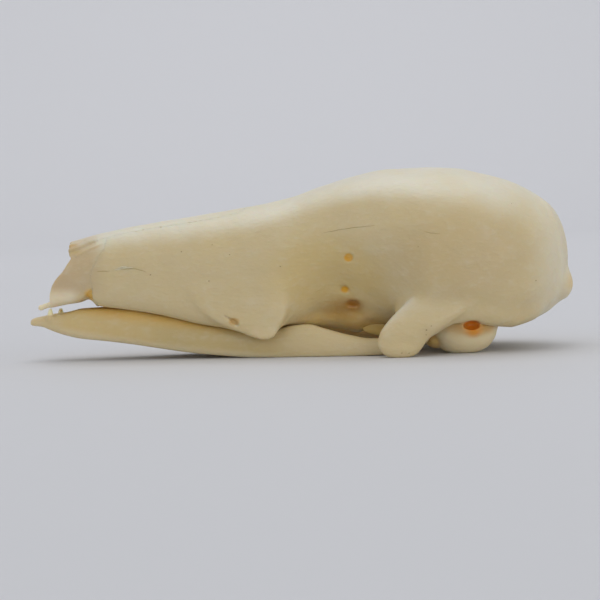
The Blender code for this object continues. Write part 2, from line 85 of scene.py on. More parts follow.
roof = line(
    (-43, 17.7), (-36.9, 19.05), (-31, 20.45), (-21.5, 22.0), (-13.7, 23.0), (-6, 24.1), (-0.5, 25.2),
    (4, 26.7), (9.7, 28.3), (15, 29.1), (21, 29.3), (27, 28.5), (33, 27.1), (37, 25.2),
    (40.2, 23.0), (41.7, 21.0), (42.4, 19.2), (42.8, 17.4),
)
floor = line(
    (-43, 8.7), (-39.5, 8.85), (-37.6, 9.1), (-35.3, 9.4), (-33.8, 9.9), (-33, 9.45), (-32.4, 8.8),
    (-31, 8.35), (-28, 7.8), (-25.3, 7.35), (-19, 5.95), (-15.9, 5.15), (-12, 4.55), (-6, 4.3), (-2, 4.4),
    (3, 3.8), (9.4, 3.1), (12, 3.8), (16, 4.3), (24, 4.1), (33.5, 3.4), (37.6, 4.5), (40.4, 6.2),
    (41.8, 8.0), (42.8, 10.8),
)
half_width = line(
    (-43, 3.4), (-37, 4.7), (-33, 5.6), (-28, 6.5), (-20, 7.7), (-12, 9.0), (-6, 10.0), (0, 10.7),
    (5, 11.6), (10, 13.6), (15, 15.6), (20, 16.9), (25, 17.2), (30, 16.6), (34, 15.0),
    (37.5, 12.6), (40.3, 9.7), (41.9, 7.2), (42.7, 5.3), (43.1, 3.6),
)
widest_height = line(
    (-43, 12.6), (-30, 13.2), (-14, 12.8), (-2, 15.0), (5, 17.0), (14, 15.6), (28, 14.6), (43.1, 14.4)
)
upper_squareness = line((-43, 2.3), (-20, 2.35), (0, 2.4), (9, 2.7), (22, 2.75), (32, 2.3), (43.1, 2.1))
lower_squareness = line(
    (-43, 4.6), (-24, 5.2), (-12, 6.2), (-6, 5.6), (-3, 5.2), (0, 4.2), (4, 2.9), (12, 2.3), (20, 2.9),
    (30, 2.9), (43.1, 2.3),
)
print("roof over the middle of the skull, mm:", float(roof(0.0)))

# %% [markdown]
# ## Bone as a field of distances
# Bones flow into each other, thin out to an edge and open into holes, which is hard to do face by face.
# Here each bone is a field: a number at every point of a block, below zero inside the bone. Two fields
# join with a soft fillet or one is cut from the other, and the surface is then drawn where the field is
# zero. Metaballs work alike, but give no control of the outline.

# %% Blocks of sample points
def steps(low, high, step):
    return np.linspace(low, high, math.ceil((high - low) / step) + 1, dtype=np.float32)


class Block:
    """Sample points in a box, in millimetres: x to the back of the skull, y away from its middle, z up."""

    def __init__(self, x, y, z):
        self.sides = (x, y, z)
        self.x, self.y, self.z = x[:, None, None], y[None, :, None], z[None, None, :]

    def even(self, field):
        """The field divided by its steepness, which makes it a distance near the surface."""
        slopes = np.gradient(field, *self.sides)
        steepness = np.sqrt(sum(slope * slope for slope in slopes))
        return field / np.maximum(steepness, 0.02)


def ease(t):
    t = np.clip(t, 0, 1)
    return t * t * (3 - 2 * t)


def join(a, b, fillet):
    near = np.maximum(fillet - np.abs(a - b), 0) / fillet
    return np.minimum(a, b) - near * near * (fillet / 4)


def cut(a, b, rounding):
    """a without b."""
    return -join(-a, b, rounding)


def oval(at, centre, radii):
    """Distance to an ellipsoid."""
    places = [p - c for p, c in zip((at.x, at.y, at.z), centre)]
    size = np.sqrt(sum((p / r) ** 2 for p, r in zip(places, radii)))
    slope = np.sqrt(sum((p / r ** 2) ** 2 for p, r in zip(places, radii)))
    return size * (size - 1) / np.maximum(slope, 1e-4)


def rod(at, points):
    """Distance to a chain of tapering rods through points (x, y, z, radius)."""
    nearest = None
    for start, end in zip(points, points[1:]):
        along = [b - a for a, b in zip(start[:3], end[:3])]
        away = [p - a for p, a in zip((at.x, at.y, at.z), start)]
        t = np.clip(sum(u * v for u, v in zip(away, along)) / sum(v * v for v in along), 0, 1)
        gap = np.sqrt(sum((u - v * t) ** 2 for u, v in zip(away, along)))
        gap = gap - (start[3] + (end[3] - start[3]) * t)
        nearest = gap if nearest is None else np.minimum(nearest, gap)
    return nearest


PLATE_SQUARENESS = 2.35
PLATE_REACH = 2.5


def plate(at, levels, top_rounding=1.5):
    """A plate through levels (height, front x, back x, distance from the middle, half thickness, splay)."""
    heights = [level[0] for level in levels]
    front, back, aside, thick, splay = (
        line(*zip(heights, column))(at.z) for column in list(zip(*levels))[1:]
    )
    half = (back - front) / 2
    along = at.x - (front + back) / 2
    out = at.y - aside - splay * along
    size = (
        (np.abs(along) / half) ** PLATE_SQUARENESS + (np.abs(out) / thick) ** PLATE_SQUARENESS
    ) ** (1 / PLATE_SQUARENESS)
    slope = np.sqrt((along / half ** 2) ** 2 + (out / thick ** 2) ** 2)
    body = size * (size - 1) / np.maximum(slope, 1e-3)
    beyond = np.hypot(np.maximum(np.abs(along) - half, 0), np.maximum(np.abs(out) - thick, 0))
    body = body + ease(beyond / PLATE_REACH) * np.maximum(beyond - body, 0)
    body = cut(body, heights[-1] - at.z, top_rounding)
    return np.maximum(body, heights[0] - at.z)


def flat_rod(at, points):
    """Distance, seen from the side, to a chain of tapering lines (x, z, radius)."""
    seen = Block(at.sides[0], np.zeros(1, np.float32), at.sides[2])
    return rod(seen, [(x, 0, z, r) for x, z, r in points])


def flat_triangle(at, corners):
    """Distance, seen from the side, to a triangle of (x, z) corners."""
    field = None
    for (x0, z0), (x1, z1) in zip(corners, corners[1:] + corners[:1]):
        length = math.hypot(x1 - x0, z1 - z0)
        edge = ((at.x - x0) * (z1 - z0) - (at.z - z0) * (x1 - x0)) / length
        field = edge if field is None else np.maximum(field, edge)
    return field


# %% [markdown]
# ## From a field to a mesh
# Marching cubes is the well-known way from a field to a mesh. Surface nets are shorter to write and give
# better faces: each small cell that the surface crosses gets one point, at the mean of its crossings, and
# each crossed edge of the grid gets one four-sided face between its four cells.

# %% Draw the surface of a field
CORNERS = np.array([(i, j, k) for i in (0, 1) for j in (0, 1) for k in (0, 1)])
EDGES = [(a, b) for a in range(8) for b in range(a + 1, 8) if np.abs(CORNERS[a] - CORNERS[b]).sum() == 1]


def surface(field, sides):
    """Points and four-sided faces where the field is zero, with faces out from where it is below zero."""
    inside = field < 0
    rows, columns, layers = (length - 1 for length in inside.shape)
    count = sum(inside[i: rows + i, j: columns + j, k: layers + k].astype(np.int8) for i, j, k in CORNERS)
    cells = np.argwhere((count > 0) & (count < 8))
    number = np.full(count.shape, -1, np.int32)
    number[tuple(cells.T)] = np.arange(len(cells))
    value = np.stack([field[tuple((cells + corner).T)] for corner in CORNERS], 1)
    place, crossings = np.zeros((len(cells), 3)), np.zeros((len(cells), 1))
    for a, b in EDGES:
        crossed = (value[:, a] < 0) != (value[:, b] < 0)
        share = (value[:, a] / np.where(crossed, value[:, a] - value[:, b], 1))[:, None]
        place += np.where(crossed[:, None], CORNERS[a] + (CORNERS[b] - CORNERS[a]) * share, 0)
        crossings += crossed[:, None]
    place = cells + place / crossings
    points = np.stack([np.interp(place[:, i], np.arange(len(side)), side) for i, side in enumerate(sides)], 1)

    faces = []
    for axis in range(3):
        across, up = (axis + 1) % 3, (axis + 2) % 3
        ahead = np.roll(inside, -1, axis)
        inner = [slice(1, -1)] * 3
        inner[axis] = slice(0, -1)
        for leaving in (True, False):
            start, end = (inside, ~ahead) if leaving else (~inside, ahead)
            edges = np.argwhere((start & end)[tuple(inner)]) + np.array([s.start for s in inner])
            ring = []
            for back_across, back_up in ((1, 1), (0, 1), (0, 0), (1, 0)):
                cell = edges.copy()
                cell[:, across] -= back_across
                cell[:, up] -= back_up
                ring.append(number[tuple(cell.T)])
            faces.append(np.stack(ring if leaving else ring[::-1], 1))
    return points, np.concatenate(faces)


def add_object(name, data):
    made = bpy.data.objects.new(name, data)
    bpy.context.scene.collection.objects.link(made)
    return made


def bone(name, field, sides, side=1):
    """A closed mesh object from a field; side -1 puts it on the animal's left, which faces -Y."""
    points, faces = surface(field, sides)
    if side < 0:
        points, faces = points * (1, -1, 1), faces[:, ::-1]
    mesh = bpy.data.meshes.new(name)
    mesh.from_pydata((points * MM).tolist(), [], faces.tolist())
    mesh.shade_smooth()
    print(f"{name}: {2 * len(faces):,} triangles, {np.ptp(points, 0).round(1)} mm")
    return add_object(name, mesh)


# %% [markdown]
# ## The body of the cranium
# The cranium is one long form: a flat-bottomed snout that swells into an egg-shaped braincase. Its
# cross-section is a superellipse, squarer below than above. The eye socket and the temple draw the side
# wall in towards the palate. A few slow waves, a tenth of a millimetre high, keep it from looking turned
# on a lathe.

# %% Body of the cranium
BACK_X = 42.9
SOCKET_TOP, SOCKET_BOTTOM = 19.8, 7.0
UPPER_WALL_Z, WALL_BLEND = 10.5, 4.0
socket_share = line(
    (-4.2, 0.0), (-2, 0.08), (0.6, 0.27), (3.3, 0.42), (6, 0.48), (10, 0.4), (14, 0.2), (19, 0.0)
)
upper_socket_share = line(
    (-8, 0.0), (-4.6, 0.04), (-2, 0.12), (1.5, 0.3), (6, 0.43), (10, 0.38), (14, 0.21), (20, 0.0)
)
socket_rim = line((-3.6, 5.9), (-0.1, 6.7), (3.1, 7.2), (8.6, 7.4), (10.8, 5.9), (13.1, 4.4))
shoulder_z = line(
    (-26, 17.8), (-15.4, 19.2), (-9, 20.7), (-4.3, 21.9), (0.4, 23.5), (5, 24.3), (16, 25.0), (28, 25.0),
)
shoulder_height = line((-26, 0), (-15, 0.1), (-5, 0.2), (4, 0.25), (18, 0.12), (26, 0))
WAVE_HEIGHT = 0.018
wave_draw = np.random.default_rng(7)
WAVES = [
    (wave_draw.normal(size=3) * wave_draw.uniform(0.25, 0.8), wave_draw.uniform(0, 6.28)) for _ in range(9)
]


def slow_waves(at):
    """A gentle unevenness, within about a tenth of a millimetre."""
    return sum(np.sin(w[0] * at.x + w[1] * at.y + w[2] * at.z + phase) for w, phase in WAVES) * WAVE_HEIGHT


RIDGE_WIDTH, RIDGE_HEIGHT = 0.24, 0.15
GROOVE_WIDTH, GROOVE_DEPTH = 0.22, 0.12
TIP_RIDGES = (
    (
        (-36.7, 17.85, 0), (-35.7, 18.1, 0), (-34.8, 18.43, 0), (-33.9, 18.85, 0), (-33.3, 19.1, 0),
        (-32.0, 19.4, 0),
    ),
    ((-35.3, 16.9, 0), (-34.4, 17.4, 0), (-33.6, 17.78, 0), (-32.7, 18.2, 0), (-31.2, 18.7, 0)),
)
TIP_GROOVES = (
    ((-36.8, 18.3, 0), (-35.4, 18.6, 0), (-34.2, 19.15, 0)),
    ((-36.8, 17.3, 0), (-35.9, 17.6, 0), (-34.9, 17.8, 0), (-33.9, 18.2, 0), (-32.5, 18.75, 0)),
)


def tip_relief(at):
    """Two low ridges and two grooves on each side of the snout's tip, where nasal and premaxilla overlap."""
    if at.sides[0][0] > -31:
        return 0
    ridges = sum(np.exp(-(flat_rod(at, points) / RIDGE_WIDTH) ** 2) for points in TIP_RIDGES)
    grooves = sum(np.exp(-(flat_rod(at, points) / GROOVE_WIDTH) ** 2) for points in TIP_GROOVES)
    return (RIDGE_HEIGHT * ridges - GROOVE_DEPTH * grooves) * ease((-30.6 - at.x) / 2)


def cranium_size(x, y, z):
    """Below zero inside the cranium's body, at any points."""
    widest = widest_height(x)
    above = z - widest
    reach = np.where(above > 0, roof(x) - widest, widest - floor(x))
    power = np.where(above > 0, upper_squareness(x), lower_squareness(x))
    share = upper_socket_share(x)
    share = share + (socket_share(x) - share) * ease((UPPER_WALL_Z - z) / WALL_BLEND)
    over_rim = z - socket_rim(x)
    rim = 0.06 * np.exp(-((over_rim / np.where(over_rim > 0, 2.6, 0.6)) ** 2))
    drawn_in = share * ease((SOCKET_TOP - z) / (SOCKET_TOP - SOCKET_BOTTOM)) * (1 - rim)
    across = np.abs(y) / (half_width(x) * (1 - drawn_in))
    return (across ** power + np.abs(above / reach) ** power) ** (1 / power) - 1


def cranium_body(at):
    """Distance to the cranium's body, with its low ridges."""
    body = at.even(cranium_size(at.x, at.y, at.z).astype(np.float32))
    temple_edge = ease((at.x - 3) / 3) * ease((24 - at.x) / 4)
    temple = 0.05 * np.exp(-((at.z - 19.5 - 0.06 * (at.x - 4)) / 0.45) ** 2) * temple_edge
    crest_x = line((4, 37.6), (7, 39.4), (8.3, 40.2), (10.6, 41.0), (13, 41.2), (18, 41.0), (24, 39.0))(at.z)
    crest = 0.22 * np.exp(-((at.x - crest_x) / 0.5) ** 2)
    crest = crest * ease((np.abs(at.y) - 3.0) / 2.0) * ease((at.z - 6) / 3)
    crown = 0.22 * np.exp(-((at.x - 26.3) / 2.2) ** 2 - (at.y / 6.0) ** 2) * ease((at.z - 20) / 4)
    shoulder = shoulder_height(at.x) * np.exp(-((at.z - shoulder_z(at.x)) / 2.0) ** 2)
    body = body - temple - crest - crown - shoulder - tip_relief(at) - slow_waves(at)
    return cut(body, BACK_X - at.x, 0.6)


# %% [markdown]
# ## The cranium's own bones
# Behind the snout the bones of an adult cranium have grown together, so they are one skin here: face,
# braincase, the hook under the eye socket, the paddle beside the jaw joint and the two condyles.
# Everything on one side is worked out once and mirrored before the surface is drawn.

# %% Parts of the cranium
SQUAMOSAL_LEVELS = (
    (0.0, 13.6, 16.6, 15.6, 0.7, 0.0), (0.35, 12.8, 17.5, 15.6, 1.0, 0.0), (1.1, 12.1, 18.3, 15.6, 1.2, 0.0),
    (2.2, 11.7, 19.1, 15.5, 1.25, 0.0), (3.6, 12.0, 20.2, 15.45, 1.3, 0.0),
    (5.0, 12.9, 22.0, 15.35, 1.3, 0.02), (6.8, 14.6, 24.6, 15.0, 1.25, 0.04),
    (8.8, 16.9, 26.4, 14.55, 1.1, 0.06), (10.6, 19.4, 26.4, 14.3, 0.8, 0.06),
)
GLENOID_LEVELS = (
    (5.55, 14.9, 20.0, 12.1, 1.9, 0.0), (6.6, 14.7, 21.0, 11.7, 2.5, 0.0), (9.4, 15.8, 21.8, 11.0, 2.6, 0.0)
)
MAXILLARY_LEVELS = (
    (3.05, -6.4, -5.0, 10.2, 0.35, 0.12), (3.4, -7.5, -4.3, 10.0, 0.6, 0.14),
    (4.1, -9.0, -3.8, 9.6, 0.75, 0.16), (5.0, -10.7, -3.5, 9.1, 0.8, 0.15),
    (6.4, -12.6, -3.3, 8.7, 0.6, 0.11), (8.2, -14.5, -3.4, 8.1, 0.4, 0.09),
    (10.6, -16.0, -3.8, 7.6, 0.25, 0.08),
)
EAR_RIDGE = (
    (20.6, 14.6, 4.9, 1.0), (23.2, 14.2, 5.9, 1.0), (26.4, 13.9, 6.3, 1.1), (29.7, 13.0, 5.6, 1.2),
    (32.8, 11.4, 5.3, 1.2), (36.0, 9.0, 6.2, 0.9),
)
UNDER_SOCKET = (
    (0.8, 8.4, 5.2, 1.1), (3.4, 7.4, 5.7, 1.6), (8.4, 7.4, 5.8, 1.8),
    (11.0, 8.9, 4.0, 1.25), (13.3, 11.4, 2.9, 1.3),
)
EAR_CENTRE, EAR_RADII = (26.4, 14.0, 4.45), (1.35, 1.9, 0.72)
INFRAORBITAL = ((-11.75, 6.8, 0.05), (-11.0, 6.35, 0.16), (-10.45, 5.98, 0.34), (-9.95, 5.5, 0.26))
CONDYLE_ROOT = ((38.6, 5.0, 7.6, 1.3), (40.9, 5.2, 9.8, 2.0))
CONDYLE_CENTRE, CONDYLE_RADII = (41.1, 5.2, 10.3), (2.2, 2.6, 2.5)
FORAMEN_Z, FORAMEN_RADII = 11.2, (4.0, 3.3)
CHAMBER_CENTRE, CHAMBER_RADII = (33.0, 0, 13.5), (6.0, 7.5, 6.0)
TEMPLE_CENTRE, TEMPLE_RADII = (12.5, 15.2, 8.0), (3.2, 2.7, 4.2)
THROAT_CENTRE, THROAT_RADII = (10.6, 0, 5.4), (5.6, 2.5, 1.9)
VAULT_FRONT_X, VAULT_BACK_X, VAULT_SHARE = -32.4, 8, 0.76
foramen_share = line((30.8, 0.7), (39, 0.92), (42.6, 1.0), (46, 1.06))
vault_rise = line((-32.4, 0.6), (-27, 1.6), (-20, 1.9), (-12, 1.6), (-4, 1.4), (4, 0.9), (8, 0.3))
PITS = (
    ((7.75, 10.6, 15.45), (0.72, 6.0, 0.66), 0.3), ((7.1, 7.6, 10.35), (0.68, 5.0, 0.56), 0.3),
    ((8.4, 6.3, 8.0), (0.9, 4.0, 0.62), 0.35),
    ((17.2, 6.6, 4.6), (0.9, 0.6, 3.0), 1.0), ((32.4, 7.4, 3.7), (1.5, 0.8, 3.0), 1.2),
    ((37.6, 4.6, 5.2), (0.55, 0.5, 3.0), 1.0), ((-14.0, 2.9, 5.4), (0.7, 0.4, 2.0), 1.2),
    ((-26.5, 2.2, 8.2), (0.8, 0.35, 2.0), 1.2),
)


def palate_vault(at):
    """The long shallow hollow between the side rims of the palate."""
    half = VAULT_SHARE * half_width(at.x) * (1 - socket_share(at.x))
    size = np.sqrt((at.y / half) ** 2 + ((at.z - floor(at.x) + 1) / (vault_rise(at.x) + 1)) ** 2)
    ends = np.maximum(VAULT_FRONT_X - at.x, at.x - VAULT_BACK_X)
    return np.maximum((size - 1) * 1.8, ends)


def foramen_magnum(at):
    share = foramen_share(at.x)
    size = np.sqrt((at.y / FORAMEN_RADII[0]) ** 2 + ((at.z - FORAMEN_Z) / FORAMEN_RADII[1]) ** 2) / share
    tunnel = np.maximum((size - 1) * 3.5, 34 - at.x)
    return join(tunnel, oval(at, CHAMBER_CENTRE, CHAMBER_RADII), 1.5)


# %% [markdown]
# ## Where the snout's bones meet
# At the tip of the snout the bones stay apart: two long nasal bones on top and a premaxilla on each side
# of the nose opening. Their seams waver a little, as real sutures do, and each bone laps a little under the
# next one, so that a seam is a shallow groove and no dark slot. A dead straight seam is the first thing
# that makes a model look machined.

# %% Seams of the snout
NASAL_THICKNESS, NASAL_LOWEST_Z, NASAL_BACK_X = 1.6, 15.5, -7.6
NOSE_BACK_X = -21.5
nasal_half = line((-45, 2.7), (-37, 3.3), (-25, 3.7), (-15, 4.4), (-10, 4.2), (-7.4, 2.4))
nose_wall = line((-43, 0.5), (-38, 0.7), (-34.5, 1.05), (-31.5, 1.6), (-28, 3.0), (-24, 5.4), (-22, 7.5))
nose_edge = line(
    (6, -39.9), (9.6, -39.9), (10.7, -39.85), (11.5, -39.65), (12.2, -39.4), (12.8, -39.05),
    (13.3, -38.7), (13.7, -38.3), (14.7, -37.4), (15.4, -36.95), (16.2, -36.4), (16.5, -36.2),
    (16.8, -36.35), (17.2, -36.45), (18.0, -36.5), (19.6, -36.5),
)
premaxilla_back = line(
    (8, -32.3), (10, -32.4), (12.0, -32.8), (13.6, -33.1), (14.9, -32.6), (16.1, -31.9),
    (18.2, -30.7), (20, -30.2),
)


def waver(place, height=0.06):
    return height * (np.sin(place * 2.9) + 0.6 * np.sin(place * 6.7 + 1.3) + 0.4 * np.sin(place * 13.1))


def nasal_region(at, body):
    """The strip of roof that the two nasal bones take up."""
    beside = np.abs(at.y) - nasal_half(at.x) - waver(at.x)
    behind = at.x - NASAL_BACK_X - waver(at.y * 1.3, 0.2) + 0.35 * np.abs(at.y)
    strip = np.maximum(np.maximum(beside, behind), NASAL_LOWEST_Z - at.z)
    return np.maximum(strip, -body - NASAL_THICKNESS)


def premaxilla_region(at):
    return at.x - premaxilla_back(at.z) - waver(at.z)


def leave_seam(field, region):
    """The field cut back from a region, down to a lap that goes on a little under the next bone."""
    lap = np.minimum(-SEAM_WIDTH - region, field + SEAM_DEPTH)
    return np.maximum(field, np.maximum(lap, -SEAM_LAP - region))


def nose_cavity(at, body):
    return np.maximum(body + nose_wall(at.x), at.x - NOSE_BACK_X)


def nose_front(at):
    """Below zero in front of the nose opening's edge."""
    return at.x - nose_edge(at.z)


# %% [markdown]
# ## Draw the cranium
# The order of joins and cuts counts. The hollows under the eye socket are cut before the joint of the jaw
# is added, so that its front edge stays crisp. The grid of sample points is finest where the seams, the
# hook and the socket are, and coarser over the plain dome of the braincase.

# %% Draw the cranium
def cranium(at):
    body = cranium_body(at)
    whole = join(body, plate(at, MAXILLARY_LEVELS), 2.6)
    whole = cut(whole, rod(at, UNDER_SOCKET), 1.4)
    whole = cut(whole, oval(at, TEMPLE_CENTRE, TEMPLE_RADII), 1.8)
    whole = join(whole, plate(at, GLENOID_LEVELS), 1.2)
    whole = join(whole, plate(at, SQUAMOSAL_LEVELS, 2.5), 1.0)
    whole = join(whole, rod(at, EAR_RIDGE), 2.6)
    whole = join(whole, join(oval(at, CONDYLE_CENTRE, CONDYLE_RADII), rod(at, CONDYLE_ROOT), 0.8), 1.2)
    whole = cut(whole, palate_vault(at), 0.6)
    whole = cut(whole, foramen_magnum(at), 0.8)
    whole = cut(whole, oval(at, THROAT_CENTRE, THROAT_RADII), 0.6)
    skin = whole
    for centre, radii, depth in PITS:
        whole = cut(whole, np.maximum(oval(at, centre, radii), -skin - depth), 0.2)
    slit = np.maximum(flat_rod(at, INFRAORBITAL), np.maximum(-skin - 0.45, 6.5 - at.y))
    whole = cut(whole, slit, 0.12)
    whole = cut(whole, oval(at, EAR_CENTRE, EAR_RADII), 0.2)
    whole = cut(whole, nose_cavity(at, body), 0.15)
    whole = leave_seam(whole, premaxilla_region(at))
    return leave_seam(whole, nasal_region(at, body))


def chain(*stretches):
    """Grid lines through stretches (low, high, step)."""
    parts = [steps(*stretch)[:-1] for stretch in stretches[:-1]] + [steps(*stretches[-1])]
    return np.concatenate(parts)


sides = (
    chain(
        (-34.5, -29, 0.22), (-29, -14, 0.36), (-14, -2, 0.25), (-2, 22, 0.32), (22, 34, 0.46),
        (34, 45, 0.34),
    ),
    chain((0, 8.6, 0.34), (8.6, 18.6, 0.3)),
    chain((-0.6, 9, 0.25), (9, 20, 0.38), (20, 30.4, 0.36)),
)
half_field = cranium(Block(*sides))
whole_field = np.concatenate([half_field[:, :0:-1], half_field], 1)
whole_sides = (sides[0], np.concatenate([-sides[1][:0:-1], sides[1]]), sides[2])
skull = bone("cranium", whole_field, whole_sides)

# %% [markdown]
# ## Nasal bones
# Two thin strips form the roof of the nose. They are cut from the same body as the cranium, so that the
# outer surface runs on without a step, and they end in front in a worn, slightly ragged edge.

# %% Draw the nasal bones
PAIRS = ((-1, "left"), (1, "right"))
at = Block(steps(-38, -7, 0.15), steps(-0.3, 5.2, 0.13), steps(14.5, 25, 0.13))
body = cranium_body(at)
field = np.maximum(body, nasal_region(at, body))
field = cut(field, nose_cavity(at, body), 0.1)
ragged = 0.12 * np.sin(at.y * 5.0 + 0.6) + 0.08 * np.sin(at.y * 11.0)
field = cut(field, nose_front(at) - ragged, 0.15)
field = np.maximum(field, BONE_GAP / 2 - at.y)
nasals = [bone(f"nasal_bone_{word}", field, at.sides, side) for side, word in PAIRS]

# %% [markdown]
# ## Premaxillae
# Each premaxilla is a curved sheet that ends in front in a small blunt spike over the lip. Low at the back
# it is so thin that light shines through a small three-cornered window.

# %% Draw the premaxillae
SPIKE = (
    (-41.6, 1.8, 8.68, 0.44), (-40.7, 1.95, 8.98, 0.4), (-39.7, 2.25, 9.25, 0.48), (-38.6, 2.55, 9.65, 0.6),
    (-37.0, 2.9, 10.05, 0.7),
)
WINDOW = ((-32.75, 11.8), (-34.3, 10.15), (-32.25, 10.0))
NOSE_FLOOR_CENTRE, NOSE_FLOOR_RADII = (-35.4, 1.5, 9.2), (1.9, 0.5, 1.8)
at = Block(steps(-42.4, -29.6, 0.12), steps(-0.3, 6.6, 0.12), steps(7.6, 20.8, 0.12))
body = cranium_body(at)
field = cut(body, nose_front(at), 0.12)
field = cut(field, nose_cavity(at, body), 0.12)
field = join(field, rod(at, SPIKE), 0.4)
window = flat_triangle(at, WINDOW)
field = cut(field, np.maximum(window, -body - 0.2), 0.2)
field = cut(field, oval(at, NOSE_FLOOR_CENTRE, NOSE_FLOOR_RADII), 0.15)
field = np.maximum(field, premaxilla_region(at))
field = leave_seam(field, nasal_region(at, body))
field = np.maximum(field, BONE_GAP / 2 - at.y)
premaxillae = [bone(f"premaxilla_bone_{word}", field, at.sides, side) for side, word in PAIRS]

# %% [markdown]
# ## Ear capsules
# The tympanic bulla is a thin bubble of bone round the middle ear, with the ear opening high on its outer
# side, right under the braincase. A smaller knob stands in front of it. It rests on the surface, so it is
# cut flat at the bottom.

# %% Draw the ear capsules
BULLA_CENTRE, BULLA_RADII = (25.5, 9.4, 3.7), (5.2, 4.0, 4.1)
ROOT_DEPTH = 0.12
BULLA_BACK = ((27.6, 9.6, 4.2, 2.4), (31.0, 9.6, 4.8, 0.5))
KNOB_CENTRE, KNOB_RADII = (21.2, 8.9, 2.2), (1.8, 2.0, 1.45)
EAR_LIP_CENTRE, EAR_LIP_RADII = (26.2, 12.3, 4.0), (2.4, 1.5, 1.7)
at = Block(steps(19.2, 32.2, 0.14), steps(4.8, 14.2, 0.14), steps(-0.4, 6.6, 0.14))
body = cranium_body(at)
field = oval(at, BULLA_CENTRE, BULLA_RADII) - slow_waves(at) * 1.5
field = join(field, rod(at, BULLA_BACK), 0.8)
field = join(field, oval(at, KNOB_CENTRE, KNOB_RADII), 0.35)
field = join(field, oval(at, EAR_LIP_CENTRE, EAR_LIP_RADII), 0.5)
field = cut(field, oval(at, EAR_CENTRE, EAR_RADII), 0.2)
field = np.maximum(field, -ROOT_DEPTH - body)
field = cut(field, at.z, 0.15)
bullae = [bone(f"ear_capsule_{word}", field, at.sides, side) for side, word in PAIRS]

# %% [markdown]
# ## Pterygoid plates
# Two thin upright plates run back from the palate and wall in the throat.

# %% Draw the pterygoid plates
PTERYGOID_LEVELS = (
    (1.0, 19.8, 21.9, 4.4, 0.32, 0.1), (1.5, 18.2, 22.2, 4.3, 0.4, 0.08), (2.6, 12.6, 21.4, 4.0, 0.5, 0.06),
    (3.6, 9.9, 19.6, 3.9, 0.6, 0.06), (5.0, 9.6, 18.6, 3.9, 0.75, 0.05), (6.2, 9.8, 18.0, 4.0, 0.8, 0.05),
)
at = Block(steps(9.0, 23.2, 0.14), steps(2.4, 5.6, 0.1), steps(0.6, 6.6, 0.13))
body = cranium_body(at)
field = np.maximum(plate(at, PTERYGOID_LEVELS), BONE_GAP - body)
pterygoids = [bone(f"pterygoid_plate_{word}", field, at.sides, side) for side, word in PAIRS]

# %% [markdown]
# ## Lower jaw
# A pangolin has no teeth, so its jaw is a plain thin blade that dips to the surface in the middle and ends
# in front in a spoon-like tip with one bony prong on each side.

# %% Draw the lower jaw
JAW_FRONT_X, JAW_BACK_X = -43.5, 19.8
JAW_SQUARENESS, JAW_LEAN = 2.2, 0.25
JAW_STATIONS = (
    (-43.8, 5.9, 6.6, 0.75, 0.45), (-43.0, 5.78, 6.95, 0.95, 0.6), (-41.6, 5.6, 7.22, 1.3, 0.75),
    (-40.0, 5.0, 7.5, 1.9, 0.95), (-38.0, 4.3, 7.68, 2.5, 1.05), (-35.3, 3.65, 8.2, 3.1, 1.1),
    (-31.4, 3.15, 8.3, 3.4, 1.05), (-27.5, 2.6, 8.1, 3.8, 1.05), (-23.6, 1.95, 7.4, 4.3, 1.05),
    (-19.8, 1.3, 6.6, 4.8, 1.1), (-16.0, 0.75, 5.6, 5.3, 1.1), (-12.0, 0.35, 4.8, 5.9, 1.1),
    (-8.0, 0.0, 4.4, 6.6, 1.1), (-4.0, -0.2, 4.4, 7.3, 1.1), (-1.5, -0.25, 4.9, 7.8, 1.1),
    (1.1, -0.25, 5.1, 8.3, 1.1), (4.0, -0.25, 4.3, 8.9, 1.1), (7.6, -0.2, 3.3, 9.6, 1.1),
    (11.0, 0.0, 2.7, 10.3, 1.1), (13.5, 0.15, 2.8, 10.8, 1.15), (15.6, 0.55, 4.2, 11.2, 1.2),
    (17.2, 1.0, 5.15, 11.3, 1.25), (18.8, 1.5, 5.1, 11.3, 1.15), (19.8, 2.1, 4.5, 11.3, 0.8),
)
JAW_PRONGS = {
    "left": ((-40.1, 2.55, 6.9, 0.5), (-40.0, 2.7, 7.8, 0.42), (-39.95, 2.75, 8.35, 0.28)),
    "right": ((-39.1, 2.6, 6.9, 0.55), (-39.05, 2.7, 7.5, 0.45), (-39.0, 2.75, 8.0, 0.34)),
}
at = Block(steps(-44.2, 20.4, 0.2), steps(-0.4, 13.2, 0.2), steps(-0.6, 9.4, 0.2))
low, high, aside, thick = (
    line(*zip([row[0] for row in JAW_STATIONS], column))(at.x) for column in list(zip(*JAW_STATIONS))[1:]
)
rise = (at.z - (low + high) / 2) / ((high - low) / 2)
out = (at.y - aside + JAW_LEAN * thick * np.clip(rise, -1.2, 1.2)) / thick
size = (np.abs(out) ** JAW_SQUARENESS + np.abs(rise) ** JAW_SQUARENESS) ** (1 / JAW_SQUARENESS)
field = at.even((size - 1).astype(np.float32))
field = np.maximum(cut(field, at.x - JAW_FRONT_X, 0.4), at.x - JAW_BACK_X)
field = cut(field, at.z, 0.15)
field = np.maximum(field, BONE_GAP / 2 - at.y)
jaws = []
for side, word in PAIRS:
    half = join(field, rod(at, JAW_PRONGS[word]), 0.35)
    jaws.append(bone(f"jaw_half_{word}", half, at.sides, side))

# %% [markdown]
# ## Shader maths as plain expressions
# Node trees for bone need much arithmetic. One small class wraps a socket, so that masks are written as
# ordinary sums, and each sum adds its Math nodes.

